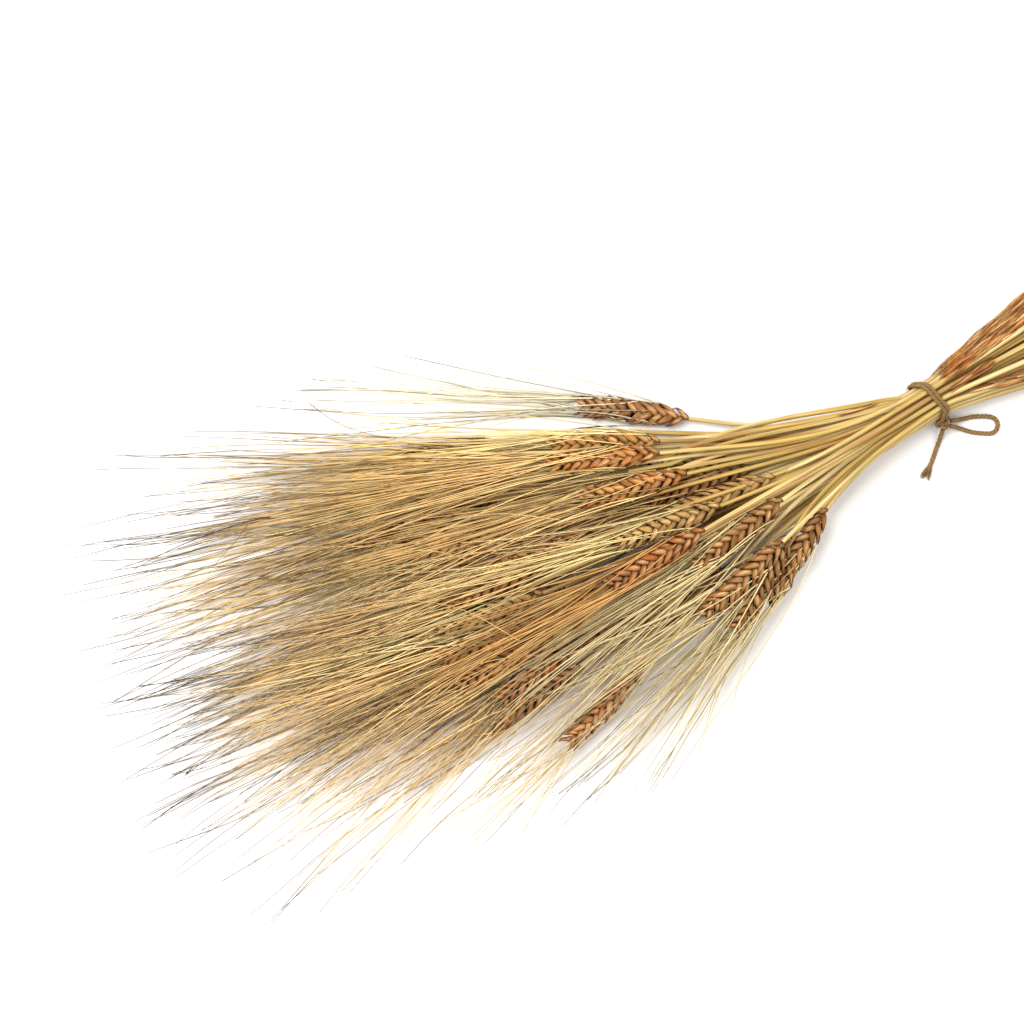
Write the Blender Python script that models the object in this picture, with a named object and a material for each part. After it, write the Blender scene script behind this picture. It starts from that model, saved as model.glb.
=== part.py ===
"""A tied bunch of bearded wheat lying on a table.

Each stalk is one grown piece: a straw stem, an ear of overlapping spikelets in two rows, and a long
bristle (an awn) on each spikelet. A piece of twine goes round all the stems, with one bow and one tail.
Sizes are in millimetres, and the meshes are scaled to metres. The origin is on the table under the tie,
with +X towards the cut ends and the ears towards -X.
"""

import math
from collections import namedtuple

import bmesh
import bpy
import numpy as np
from mathutils import Vector
from mathutils.geometry import convex_hull_2d

MM = 0.001
SEED = 11

# Stems, six sided like the rings of the ears that grow from them
STEM_R = 1.6
SHEATH_R = 2.1
SIDES = 6
TAIL_LENGTH = 118.0
TAIL_JITTER = 9.0
TAIL_BEND = 0.45
TAIL_MIDDLE = 8.0
TAIL_SPREAD = 12.0
TAIL_STRAY = 2.2

# Tie: lanes across the bundle, where the stems run side by side in rows, all in one direction
LANE_PITCH = 4.0
HALF_BUNDLE = 10.0
TIE_KNOTS = (2, 3)
TIE_TURN = -12.0
TIE_HALF = 10.0
TWINE_R = 1.25
RING_SKEW = 0.16
RING_HALF = 17.0
CLEAR = 0.3
BOTTOM_ROW_Z = TWINE_R * 2 + CLEAR + STEM_R

# Ears: six scales on each side, those of one side half a pitch ahead of the other's
EAR_LENGTH = 71.0
EAR_HALF_WIDTH = 6.2
EAR_THICK = 8.6
SCALES = 6
PITCH = EAR_LENGTH / SCALES
SHOULDER = 2.5
NOTCH = 0.62
SCALE_TIP = 0.85
BEAK_LENGTH = 5.0
BEAK_OUT = 0.3
AWN_OUT = 0.9
AWN_R = 0.5
AWN_LENGTH = 158.0
AWN_JITTER = 0.16
KNEE = 52.0

# Half width and thickness of the room that a brush of awns takes, at the ear, at its knee and at its end
BRUSH_HALF = (8.6, 11.0, 16.0)
BRUSH_THICK = (4.8, 3.6, 2.4)
BRUSH_EDGE = 0.6

# Laying the stalks one on another
CELL = 0.4
FIELD_LOW = np.array([-600.0, -220.0])
FIELD_SIZE = (760.0, 400.0)
LAY_GAP = 0.35
SIDE_GAP = 0.25
LAY_STEP = 0.3
SAG = 3.0
SWEEPS = 60

# The bend of a stem from the tie to its ear's foot, and how far its beard keeps the ear's heading
STEM_PULL = 0.36
SHORT_STEM = 130.0
BEARD_TURN = 0.75

# Ears that show. reach is from the tie to the ear's foot; bearing and heading are degrees from -X to +Y.
# The rusty ones are redder than the rest.
Ear = namedtuple("Ear", "row reach bearing heading rusty")
SHOWN_EARS = (
    Ear(2, 138, 16.2, 27, False),
    Ear(3, 157, 11.7, 18, False),
    Ear(2, 221, 10.0, 9, True),
    Ear(3, 121, 4.8, 10, False),
    Ear(3, 205, -1.2, -1, True),
    Ear(3, 242, -2.9, -3, True),
    Ear(3, 257, -9.5, 0, True),
    Ear(2, 189, -11.0, -6, True),
    Ear(2, 224, -22.9, -25, True),
    Ear(4, 159, 9.3, 14, True),
    Ear(4, 146, 3.6, 6, False),
    Ear(4, 135, -6.3, 0, False),
    Ear(3, 239, -14.4, -16, True),
    Ear(4, 111, -23.1, -40, False),
    Ear(4, 84, -25.8, -36, False),
    Ear(5, 98, -5.7, -1, False),
    Ear(5, 150, -9.2, -11, True),
    Ear(5, 102, -13.1, -17, False),
    Ear(5, 117, -23.2, -23, False),
)

# Ears under them, spread evenly from one side to the other
HIDDEN_EARS = 7
HIDDEN_FIRST, HIDDEN_LAST = 14.0, -22.0
HIDDEN_NEAR, HIDDEN_FAR = 150.0, 292.0
GOLDEN = 0.618034

# Twine: the knot, and the bow and the tail that leave it
KNOT_R = 3.3
KNOT_LONG, KNOT_TALL = 1.25, 0.85
KNOT_Z = 8.0
BOW_ROUND_R = 5.0
BOW_REACH = 33.0
BOW_TURN = -22.0
TWINE_SIDES = 8
RING_TURN = 24.0
RING_LEVEL = 0.25
TABLE_Z = TWINE_R + 0.1

GOLD_EAR = ("golden_wheat", (0.66, 0.40, 0.17), 0.6)
RUST_EAR = ("rusty_wheat", (0.55, 0.24, 0.07), 0.6)
JUTE = ("jute_twine", (0.30, 0.18, 0.09), 0.9)


def along(bearing):
    """Unit vector in plan for a bearing in degrees, measured from -X towards +Y."""
    a = math.radians(bearing)
    return np.array([-math.cos(a), math.sin(a)])


def left_of(direction):
    """The level direction square to one in plan, on its +Y side when it runs towards -X."""
    return np.array([direction[1], -direction[0]])


TIE_ALONG = along(TIE_TURN)
TIE_ACROSS = left_of(TIE_ALONG)


def all_ears():
    """The ears that show, and the hidden ones, whose reach goes by the golden ratio so that none line up."""
    ears = list(SHOWN_EARS)
    for k in range(HIDDEN_EARS):
        share = (k + 0.5) / HIDDEN_EARS
        bearing = HIDDEN_FIRST + (HIDDEN_LAST - HIDDEN_FIRST) * share
        reach = HIDDEN_NEAR + (HIDDEN_FAR - HIDDEN_NEAR) * ((k * GOLDEN + 0.3) % 1.0)
        row = 2 if k == HIDDEN_EARS // 2 else 1
        ears.append(Ear(row, reach, bearing, bearing, False))
    return ears


def lanes_of(ears):
    """Place across the tie for each ear: in each row the stems keep the order of their bearings."""
    lanes = {}
    for row in sorted({ear.row for ear in ears}):
        members = sorted((i for i, ear in enumerate(ears) if ear.row == row), key=lambda i: ears[i].bearing)
        for place, i in enumerate(members):
            lanes[i] = (place - (len(members) - 1) / 2) * LANE_PITCH
    return lanes


def bezier(points, t):
    a, b, c, d = points
    s = 1 - t
    return s**3 * a + 3 * s * s * t * b + 3 * s * t * t * c + t**3 * d


def plan_of(ear, lane, cut, beard):
    """The stalk's line in plan as knots, from the cut end to the awns' end, and where its ear's foot is."""
    tie = TIE_ACROSS * lane
    stray = 2 * (ear.row * GOLDEN % 1.0) - 1
    tail_way = -along(-TAIL_MIDDLE - TAIL_SPREAD * lane / HALF_BUNDLE - TAIL_STRAY * stray)
    back = tie - TIE_ALONG * TIE_HALF
    front = tie + TIE_ALONG * TIE_HALF
    foot = along(ear.bearing) * ear.reach
    ear_way = along(ear.heading)
    pull = STEM_PULL * np.linalg.norm(foot - front)
    curve = (front, front + TIE_ALONG * pull, foot - ear_way * pull, foot)
    bends = 2 if ear.reach < SHORT_STEM else 3
    knots = [back + tail_way * cut, back + tail_way * TAIL_BEND * cut, back, front]
    knots += [bezier(curve, (k + 1) / (bends + 1)) for k in range(bends)]
    knots.append(foot)
    tip = foot + ear_way * EAR_LENGTH
    beard_way = along(BEARD_TURN * ear.heading)
    knots += [tip, tip + beard_way * KNEE, tip + beard_way * beard]
    return np.array(knots), len(knots) - 4


def sides_of(knots):
    """At each knot, the level direction square to the line there."""
    ways = np.diff(knots, axis=0)
    ways /= np.linalg.norm(ways, axis=1)[:, None]
    mean = np.vstack([ways[:1], ways[:-1] + ways[1:], ways[-1:]])
    mean /= np.linalg.norm(mean, axis=1)[:, None]
    return np.stack([mean[:, 1], -mean[:, 0]], axis=1)


def stem_radius(knot, sheath):
    """Radius of the straw at a knot: some stalks keep their leaf's sheath behind the tie."""
    return SHEATH_R if sheath and knot < 2 else STEM_R


def room_of(segment, foot, u, sheath):
    """Half width and thickness of the room a stalk takes at share u of a segment of its line."""
    if segment < foot:
        r = stem_radius(segment, sheath) * (1 - u) + stem_radius(segment + 1, sheath) * u
        return r, 2 * r
    stage = segment - foot
    if stage == 0:
        grow = np.minimum(1, 0.35 + u / 0.12)
        return BRUSH_HALF[0] * grow, EAR_THICK * grow
    half = BRUSH_HALF[stage - 1] * (1 - u) + BRUSH_HALF[stage] * u
    thick = BRUSH_THICK[stage - 1] * (1 - u) + BRUSH_THICK[stage] * u
    return half, thick


class Pile:
    """Height of what already lies on the table, on a grid of cells."""

    def __init__(self):
        self.top = np.zeros([int(size / CELL) for size in FIELD_SIZE])
        for lane in np.arange(-RING_HALF, RING_HALF, CELL / 2):
            for step in np.arange(-TWINE_R, TWINE_R, CELL / 2):
                spot = TIE_ACROSS * lane + TIE_ALONG * (step + RING_SKEW * lane)
                self.top[self.cells(spot)] = BOTTOM_ROW_Z - STEM_R - LAY_GAP

    @staticmethod
    def cells(points):
        index = ((points - FIELD_LOW) / CELL).astype(int)
        return index[..., 0], index[..., 1]

    @staticmethod
    def strip(knots, sides, segment, u, half):
        """Points over the width of a segment's room, a row for each share u."""
        centre = knots[segment] + np.outer(u, knots[segment + 1] - knots[segment])
        side = sides[segment] + np.outer(u, sides[segment + 1] - sides[segment])
        across = np.linspace(-1, 1, int(2 * half.max() / (CELL * 0.7)) + 3)
        return centre[:, None, :] + side[:, None, :] * (half[:, None] * across)[:, :, None]

    def lay(self, knots, foot, sheath):
        """Heights of the knots for a stalk laid on the pile.

        Each is as low as what is under it and the straw's stiffness allow.
        """
        sides = sides_of(knots)
        spans = []
        for segment in range(len(knots) - 1):
            length = np.linalg.norm(knots[segment + 1] - knots[segment])
            u = np.linspace(0, 1, int(length / LAY_STEP) + 2)
            half, thick = room_of(segment, foot, u, sheath)
            under = self.top[self.cells(self.strip(knots, sides, segment, u, half + SIDE_GAP))].max(axis=1)
            spans.append((u, half, thick, thick / 2 + np.where(under > 0, under + LAY_GAP, 0)))
        count = len(knots)
        heights = np.zeros(count)
        for segment, (_, _, _, need) in enumerate(spans):
            heights[segment : segment + 2] = np.maximum(heights[segment : segment + 2], need.max())
        stations = np.r_[0, np.cumsum(np.linalg.norm(np.diff(knots, axis=0), axis=1))]
        for _ in range(SWEEPS):
            for k in range(count):
                low = 0.0
                if k > 0:
                    u, _, _, need = spans[k - 1]
                    low = max(low, ((need[1:] - (1 - u[1:]) * heights[k - 1]) / u[1:]).max())
                if k < count - 1:
                    u, _, _, need = spans[k]
                    low = max(low, ((need[:-1] - u[:-1] * heights[k + 1]) / (1 - u[:-1])).max())
                if 0 < k < count - 1 and k not in TIE_KNOTS:
                    share = (stations[k] - stations[k - 1]) / (stations[k + 1] - stations[k - 1])
                    low = max(low, heights[k - 1] * (1 - share) + heights[k + 1] * share - SAG)
                heights[k] = low
        for segment, (u, half, thick, _) in enumerate(spans):
            level = heights[segment] * (1 - u) + heights[segment + 1] * u + thick / 2
            where = self.cells(self.strip(knots, sides, segment, u, half))
            np.maximum.at(self.top, where, np.broadcast_to(level[:, None], where[0].shape))
        return heights, sides


class Skin:
    """The faces of one closed body, gathered ring by ring, in millimetres."""

    def __init__(self):
        self.points = []
        self.faces = []

    def add(self, points):
        first = len(self.points)
        self.points += [np.asarray(p, float) for p in points]
        return list(range(first, len(self.points)))

    def bridge(self, low, high, skip=()):
        """Two triangles for each side between two rings of equal counts; a skipped side is left open."""
        count = len(low)
        for i in range(count):
            j = (i + 1) % count
            if i not in skip:
                self.faces += [(low[i], low[j], high[j]), (low[i], high[j], high[i])]

    def fan(self, ring, apex):
        for i, corner in enumerate(ring):
            self.faces.append((corner, ring[(i + 1) % len(ring)], apex))

    def mesh_object(self, name):
        bm = bmesh.new()
        corners = [bm.verts.new(p * MM) for p in self.points]
        for face in self.faces:
            bm.faces.new([corners[i] for i in face])
        bmesh.ops.recalc_face_normals(bm, faces=bm.faces[:])
        mesh = bpy.data.meshes.new(name)
        bm.to_mesh(mesh)
        bm.free()
        made = bpy.data.objects.new(name, mesh)
        bpy.context.scene.collection.objects.link(made)
        return made


def at(point, height):
    return np.array([point[0], point[1], height])


def round_ring(centre, side, radius):
    """Six points round a stem, from its right side over its top."""
    angles = 2 * np.pi * np.arange(SIDES) / SIDES
    return centre + radius * (np.outer(np.cos(angles), at(side, 0.0)) + np.outer(np.sin(angles), [0, 0, 1]))


def fullness(phase):
    """How far a scale stands out, 0 to 1: quick to fill, and full from its middle to its tip."""
    phase = phase % 1.0
    return min(1.0, phase / 0.5) ** 0.6


def envelope(u):
    """Size of the ear at share u of its length: it fills soon after the foot and tapers to the tip."""
    return min(1.0, 0.5 + 4.0 * u) * (1 - 0.5 * u**3)


class Stalk:
    """One stalk's line, its heights and its skin."""

    def __init__(self, knots, sides, heights, foot, sheath, beard):
        self.knots, self.sides, self.heights = knots, sides, heights
        self.foot, self.sheath, self.beard = foot, sheath, beard
        self.skin = Skin()
        self.way = (knots[foot + 1] - knots[foot]) / EAR_LENGTH
        self.square = left_of(self.way)
        self.climb = (heights[foot + 1] - heights[foot]) / EAR_LENGTH

    def in_ear(self, s, side, up):
        """A point s along the ear from its foot, beside its middle plane and above its middle."""
        level = self.heights[self.foot] + self.climb * s + up
        return at(self.knots[self.foot] + self.way * s + self.square * side, level)

    def in_brush(self, s, outer, rise):
        """A point s past the ear's tip, at a share of the brush's half width and half thickness."""
        stage = 1 if s < KNEE else 2
        k = self.foot + stage
        u = s / KNEE if stage == 1 else (s - KNEE) / (self.beard - KNEE)
        centre = self.knots[k] * (1 - u) + self.knots[k + 1] * u
        across = self.sides[k] * (1 - u) + self.sides[k + 1] * u
        half = BRUSH_HALF[stage - 1] * (1 - u) + BRUSH_HALF[stage] * u - BRUSH_EDGE
        thick = BRUSH_THICK[stage - 1] * (1 - u) + BRUSH_THICK[stage] * u
        level = self.heights[k] * (1 - u) + self.heights[k + 1] * u
        return at(centre + across * half * outer, level + (thick / 2 - BRUSH_EDGE) * rise)

    def ear_ring(self, s, phase):
        """Keel, two top shoulders, keel, two bottom shoulders: each side swells with its own scales."""
        size = envelope(s / EAR_LENGTH)
        right = NOTCH + (1 - NOTCH) * fullness(phase)
        left = NOTCH + (1 - NOTCH) * fullness(phase + 0.5)
        keel, top = EAR_HALF_WIDTH * size, EAR_THICK / 2 * size
        shoulder = SHOULDER * size
        corners = (
            (keel * right, 0),
            (shoulder, top * right),
            (-shoulder, top * left),
            (-keel * left, 0),
            (-shoulder, -top * left),
            (shoulder, -top * right),
        )
        return self.skin.add(self.in_ear(s, side, up) for side, up in corners)

    def awn_ring(self, centre, hand):
        """Three points round an awn, one of them outwards."""
        side, up = at(self.square, 0.0) * AWN_R * hand, np.array([0, 0, AWN_R])
        return self.skin.add([centre + side, centre + up - side * 0.5, centre - up - side * 0.5])

    def awn(self, ring, hand, outer, rise, from_ear, length):
        """Run an awn out from its root ring, past the ear's tip where it starts well before it, to its end."""
        if from_ear:
            crossing = self.awn_ring(self.in_brush(0.0, outer * hand, 0.7 * rise), hand)
            self.skin.bridge(ring, crossing)
            ring = crossing
        knee = self.awn_ring(self.in_brush(KNEE, outer * hand, rise), hand)
        self.skin.bridge(ring, knee)
        (end,) = self.skin.add([self.in_brush(length, outer * hand, rise)])
        self.skin.fan(knee, end)

    def scale_tip(self, low, high, scale, hand, s, rng):
        """The keeled tip of a scale over its notch: a short beak, or on every other scale an awn."""
        keel, top, bottom = (0, 1, 5) if hand > 0 else (3, 2, 4)
        out = EAR_HALF_WIDTH * envelope(s / EAR_LENGTH)
        base = [low[keel], low[top], high[keel], low[bottom]]
        self.skin.faces += [(low[top], high[top], high[keel]), (low[bottom], high[bottom], high[keel])]
        if scale % 2:
            (apex,) = self.skin.add([self.in_ear(s + BEAK_LENGTH, (out + BEAK_OUT) * hand, 0)])
            self.skin.fan(base, apex)
            return
        root = self.awn_ring(self.in_ear(s + BEAK_LENGTH, (out + AWN_OUT) * hand, 0), hand)
        outside, upper, lower = root
        self.skin.faces += [
            (base[0], base[1], upper),
            (base[0], upper, outside),
            (base[1], base[2], upper),
            (base[2], lower, upper),
            (base[2], base[3], lower),
            (base[3], base[0], outside),
            (base[3], outside, lower),
        ]
        share = scale / SCALES
        rise = (1 - 0.5 * share) * (1 if (scale // 2 + (hand < 0)) % 2 == 0 else -1)
        length = self.beard * (1 - 0.30 * (1 - share) - AWN_JITTER * rng.random())
        self.awn(root, hand, 1 - 0.82 * share, rise, s < EAR_LENGTH - 20, length)

    def grow(self, name, rng):
        ring = []
        for k in range(self.foot + 1):
            centre = at(self.knots[k], self.heights[k])
            grown = self.skin.add(round_ring(centre, self.sides[k], stem_radius(k, self.sheath)))
            if k:
                self.skin.bridge(ring, grown)
            else:
                self.skin.faces.append(tuple(grown))
            ring = grown
        for scale in range(SCALES):
            for phase in (SCALE_TIP - 0.5, 0.5, SCALE_TIP, 1.0):
                s = (scale + phase) * PITCH
                grown = self.ear_ring(s, phase)
                hand = {0.5: -1, 1.0: 1}.get(phase, 0)
                sides_skipped = {1: (0, 5), -1: (2, 3), 0: ()}[hand]
                self.skin.bridge(ring, grown, skip=sides_skipped)
                if hand:
                    self.scale_tip(ring, grown, scale, hand, s - (1 - SCALE_TIP) * PITCH, rng)
                ring = grown
        self.skin.faces += [(ring[i], ring[i + 1], ring[(i + 2) % SIDES]) for i in (0, 2, 4)]
        root = self.awn_ring(self.in_brush(BEAK_LENGTH, 0, 0), 1)
        self.skin.bridge([ring[0], ring[2], ring[4]], root)
        self.awn(root, 1, 0.0, 0.0, False, self.beard)
        return self.skin.mesh_object(name)


def fuse(base, extra):
    """Join a second body onto the base by a union, applied, and remove the second body."""
    join = base.modifiers.new("grown_together", "BOOLEAN")
    join.operation = "UNION"
    join.solver = "EXACT"
    join.object = extra
    graph = bpy.context.evaluated_depsgraph_get()
    mesh = bpy.data.meshes.new_from_object(base.evaluated_get(graph))
    base.modifiers.clear()
    base.data = mesh
    bpy.data.objects.remove(extra)


def twine_ring(stems):
    """Centres of the twine round the bundle, and the way out at each, in the plane of the tie.

    It turns round each outermost stem from one straight run to the next, and under the bundle it is level.
    """
    corners = stems[convex_hull_2d([tuple(stem) for stem in stems])]
    nexts = np.roll(corners, -1, axis=0)
    if (corners[:, 0] * nexts[:, 1] - corners[:, 1] * nexts[:, 0]).sum() < 0:
        corners = corners[::-1]
    runs = np.roll(corners, -1, axis=0) - corners
    facing = np.degrees(np.arctan2(-runs[:, 0], runs[:, 1]))
    centres, ways = [], []
    for corner, first, last in zip(corners, np.roll(facing, 1), facing):
        turn = (last - first) % 360.0
        for angle in np.radians(first + np.linspace(0, turn, 2 + int(turn / RING_TURN))):
            ways.append([math.cos(angle), math.sin(angle)])
            centres.append(corner + (STEM_R + CLEAR + TWINE_R) * np.array(ways[-1]))
    centres, ways = np.array(centres), np.array(ways)
    underneath = centres[:, 1] < TWINE_R + RING_LEVEL
    centres[underneath, 1] = TWINE_R
    ways[underneath] = (0.0, -1.0)
    return centres, ways


def tie_ring(path, ways):
    """A closed tube of twine whose flats face straight out from the bundle, and straight down under it."""
    skin = Skin()
    rings = []
    count = len(path)
    corner = TWINE_R / math.cos(np.pi / TWINE_SIDES)
    angles = 2 * np.pi * (np.arange(TWINE_SIDES) + 0.5) / TWINE_SIDES
    for i, point in enumerate(path):
        run = path[(i + 1) % count] - path[i - 1]
        run -= ways[i] * (run @ ways[i])
        second = np.cross(run / np.linalg.norm(run), ways[i])
        spokes = np.outer(np.cos(angles), ways[i]) + np.outer(np.sin(angles), second)
        rings.append(skin.add(point + corner * spokes))
    for i in range(count):
        skin.bridge(rings[i - 1], rings[i])
    return skin.mesh_object("twine_tie")


def knot(centre):
    """The tight knot: a lump wider than it is tall."""
    bm = bmesh.new()
    bmesh.ops.create_icosphere(bm, subdivisions=2, radius=KNOT_R * MM)
    for v in bm.verts:
        v.co = Vector((v.co.x * KNOT_LONG, v.co.y, v.co.z * KNOT_TALL)) + Vector(centre) * MM
    mesh = bpy.data.meshes.new("knot")
    bm.to_mesh(mesh)
    bm.free()
    made = bpy.data.objects.new("knot", mesh)
    bpy.context.scene.collection.objects.link(made)
    return made


def smooth_path(points, steps):
    """Points along a smooth curve through the given ones (Catmull-Rom)."""
    points = [np.array(p, float) for p in points]
    ends = [2 * points[0] - points[1], *points, 2 * points[-1] - points[-2]]
    out = []
    for a, b, c, d in zip(ends, ends[1:], ends[2:], ends[3:]):
        for t in np.arange(steps) / steps:
            bend = (2 * a - 5 * b + 4 * c - d) * t**2 + (3 * b - a - 3 * c + d) * t**3
            out.append(0.5 * (2 * b + (c - a) * t + bend))
    out.append(points[-1])
    return np.array(out)


def on_table(path):
    """The same path, nowhere lower than a strand that lies on the table."""
    path[:, 2] = np.maximum(path[:, 2], TABLE_Z)
    return path


def strand(name, path):
    """A round, capped tube of twine along a path."""
    curve = bpy.data.curves.new(name, "CURVE")
    curve.dimensions = "3D"
    curve.bevel_depth = TWINE_R * MM
    curve.bevel_resolution = 2
    curve.use_fill_caps = True
    spline = curve.splines.new("POLY")
    spline.points.add(len(path) - 1)
    for point, place in zip(spline.points, path):
        point.co = (*(place * MM), 1.0)
    made = bpy.data.objects.new(name, curve)
    bpy.context.scene.collection.objects.link(made)
    return made


def bow_route(knot_at):
    """The bow: out along one side of a long drop shape, round its end, and back to the knot, on the table."""
    way = np.array([math.cos(math.radians(BOW_TURN)), math.sin(math.radians(BOW_TURN))])
    side = np.array([-way[1], way[0]])
    start = knot_at[:2] + way * (KNOT_R * KNOT_LONG + CLEAR)
    middle = knot_at[:2] + way * (BOW_REACH - BOW_ROUND_R)
    points = [at(start + side * 1.45, knot_at[2] + 0.6), at(start + way * 7 + side * 2.8, TABLE_Z + 1.0)]
    points += [at(start + way * 14 + side * 4.6, TABLE_Z)]
    for angle in np.linspace(0.5 * np.pi, -0.5 * np.pi, 5):
        spot = middle + BOW_ROUND_R * (side * math.sin(angle) + way * math.cos(angle))
        points.append(at(spot, TABLE_Z))
    points += [at(start + way * 14 - side * 4.6, TABLE_Z), at(start + way * 7 - side * 2.8, TABLE_Z + 0.5)]
    points += [at(start - side * 1.45, knot_at[2] - 0.8)]
    return on_table(smooth_path(points, 2))


def tail_route(knot_at):
    """The free end: out of the knot, down to the table and away in a lazy bend."""
    x, y, z = knot_at
    points = [
        (x - 1.6, y - KNOT_R - CLEAR - 0.2, z - 0.6),
        (x - 4.0, y - 8.0, TABLE_Z + 0.6),
        (x - 8.5, y - 13.5, TABLE_Z),
        (x - 13.5, y - 19.5, TABLE_Z),
        (x - 19.5, y - 26.0, TABLE_Z),
    ]
    return on_table(smooth_path(points, 2))


def material(finish):
    name, colour, roughness = finish
    made = bpy.data.materials.get(name) or bpy.data.materials.new(name)
    made.use_nodes = True
    shader = made.node_tree.nodes["Principled BSDF"]
    shader.inputs["Base Color"].default_value = (*colour, 1.0)
    shader.inputs["Roughness"].default_value = roughness
    shader.inputs["Metallic"].default_value = 0.0
    return made


def finish_object(piece, finish):
    piece.data.materials.clear()
    piece.data.materials.append(material(finish))


def build():
    for obj in list(bpy.data.objects):
        bpy.data.objects.remove(obj)
    rng = np.random.default_rng(SEED)
    ears = all_ears()
    lanes = lanes_of(ears)
    pile = Pile()
    at_tie = []
    for number, i in enumerate(sorted(range(len(ears)), key=lambda i: (ears[i].row, ears[i].reach))):
        sheath = number % 3 == 0
        cut = TAIL_LENGTH + TAIL_JITTER * (2 * rng.random() - 1)
        beard = AWN_LENGTH * (1 + 0.08 * (2 * rng.random() - 1))
        knots, foot = plan_of(ears[i], lanes[i], cut, beard)
        heights, sides = pile.lay(knots, foot, sheath)
        stalk = Stalk(knots, sides, heights, foot, sheath, beard).grow(f"wheat_stalk_{number + 1:02d}", rng)
        stalk.data.shade_smooth()
        stalk.data.set_sharp_from_angle(angle=math.radians(40))
        finish_object(stalk, RUST_EAR if ears[i].rusty else GOLD_EAR)
        u = 0.5 + RING_SKEW * lanes[i] / (2 * TIE_HALF)
        at_tie.append([lanes[i], heights[2] * (1 - u) + heights[3] * u])

    loop, ways = twine_ring(np.array(at_tie))
    path = np.array([at((TIE_ACROSS + TIE_ALONG * RING_SKEW) * lane, z) for lane, z in loop])
    outward = np.array([at(TIE_ACROSS * way[0], way[1]) for way in ways])
    tie = tie_ring(path, outward)
    side = path[np.argmin(loop[:, 0])]
    knot_at = at(side[:2] - TIE_ACROSS * (KNOT_R - TWINE_R), KNOT_Z)
    fuse(tie, knot(knot_at))
    finish_object(tie, JUTE)
    finish_object(strand("twine_bow", bow_route(knot_at)), JUTE)
    finish_object(strand("twine_tail", tail_route(knot_at)), JUTE)


build()
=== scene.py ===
import bpy
import numpy as np
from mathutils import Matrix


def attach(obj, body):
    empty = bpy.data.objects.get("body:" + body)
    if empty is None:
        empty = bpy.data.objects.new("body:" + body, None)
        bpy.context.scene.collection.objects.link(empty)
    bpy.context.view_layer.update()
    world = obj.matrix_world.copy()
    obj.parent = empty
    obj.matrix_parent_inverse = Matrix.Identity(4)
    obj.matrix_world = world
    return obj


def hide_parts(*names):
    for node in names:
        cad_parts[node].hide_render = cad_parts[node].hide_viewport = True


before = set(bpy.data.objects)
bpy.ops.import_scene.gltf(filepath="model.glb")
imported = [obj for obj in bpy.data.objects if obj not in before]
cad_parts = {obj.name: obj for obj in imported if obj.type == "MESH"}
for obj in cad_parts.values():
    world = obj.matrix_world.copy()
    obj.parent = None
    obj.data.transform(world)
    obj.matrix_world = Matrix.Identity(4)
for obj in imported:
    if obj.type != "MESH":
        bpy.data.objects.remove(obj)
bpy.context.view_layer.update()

print("frame loaded:", len(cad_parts), "nodes")

# A tied bunch of bearded wheat lying on a table. Shapes are worked out in millimetres and made in metres.
mm = 0.001
rng = np.random.default_rng(23)


# Linear colour from screen values of 0 to 255: ((c / 255 + 0.055) / 1.055) ^ 2.4
def paint(*colour):
    return ((np.array(colour, float) / 255 + 0.055) / 1.055) ** 2.4


# Value at a share of the way between two limits
def between(limits, share):
    return limits[0] + (limits[1] - limits[0]) * share


def unit(vectors):
    return vectors / np.linalg.norm(vectors, axis=-1, keepdims=True)


# Unit vectors at a right angle to the ways: each less its share along its way
def squareTo(vectors, ways):
    return unit(vectors - ways * (vectors * ways).sum(-1, keepdims=True))


# How far along a line each of its points is
def distances(line):
    return np.r_[0, np.cumsum(np.linalg.norm(np.diff(line, axis=0), axis=1))]


def addObject(name, data):
    made = bpy.data.objects.new(name, data)
    bpy.context.scene.collection.objects.link(made)
    return made


# Camera: it looks straight down, turned so that the bunch leans across the view

shot = {
    "width": 594.0,  # millimetres across the picture at the height of the ears
    "pixels": 1024,
    "centre": (-249.6, 23.0),
    "height": 22.0,
    "turn": -20.0,  # degrees
    "distance": 1700.0,
    "sensor": 36.0,
    "clip": (0.05, 20.0),  # metres
}


def placeCamera():
    lens = bpy.data.cameras.new("photoCamera")
    lens.sensor_width = shot["sensor"]
    lens.lens = shot["sensor"] * shot["distance"] / shot["width"]
    lens.clip_start, lens.clip_end = shot["clip"]
    camera = addObject("photoCamera", lens)
    camera.location = [v * mm for v in (*shot["centre"], shot["height"] + shot["distance"])]
    camera.rotation_euler = (0.0, 0.0, np.radians(shot["turn"]))
    bpy.context.scene.camera = camera


# Millimetres on the table of a place in the picture: centre + turned (across, up) * width / pixels
def spot(px, py):
    middle = shot["pixels"] / 2
    across, up = np.array([px - middle, middle - py]) * shot["width"] / shot["pixels"]
    turn = np.radians(shot["turn"])
    return np.array([shot["centre"][0] + across * np.cos(turn) - up * np.sin(turn),
                     shot["centre"][1] + across * np.sin(turn) + up * np.cos(turn)])


placeCamera()
bpy.context.scene.view_settings.view_transform = "Standard"  # white paper stays white
print("camera placed")


# Meshes

# Faces of tubes that lie one after another, each of rings x sides points: a quad between each two
# neighbours, and one cap at each end
def tubeFaces(count, rings, sides, closed=False):
    i, j = np.meshgrid(np.arange(rings if closed else rings - 1), np.arange(sides), indexing="ij")
    k, n = (j + 1) % sides, (i + 1) % rings
    quads = np.stack([i * sides + j, n * sides + j, n * sides + k, i * sides + k], -1).reshape(-1, 4)
    step = np.arange(count)[:, None, None] * rings * sides
    faces = [(quads + step).reshape(-1, 4)]
    if not closed:
        caps = np.stack([np.arange(sides), (rings * sides - 1) - np.arange(sides)])
        faces.append((caps + step).reshape(-1, sides))
    return faces


lowest = 0.06  # the table holds up whatever would lie lower
grainShift = 300.0  # each form's grain starts somewhere else, up to this far off


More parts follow.
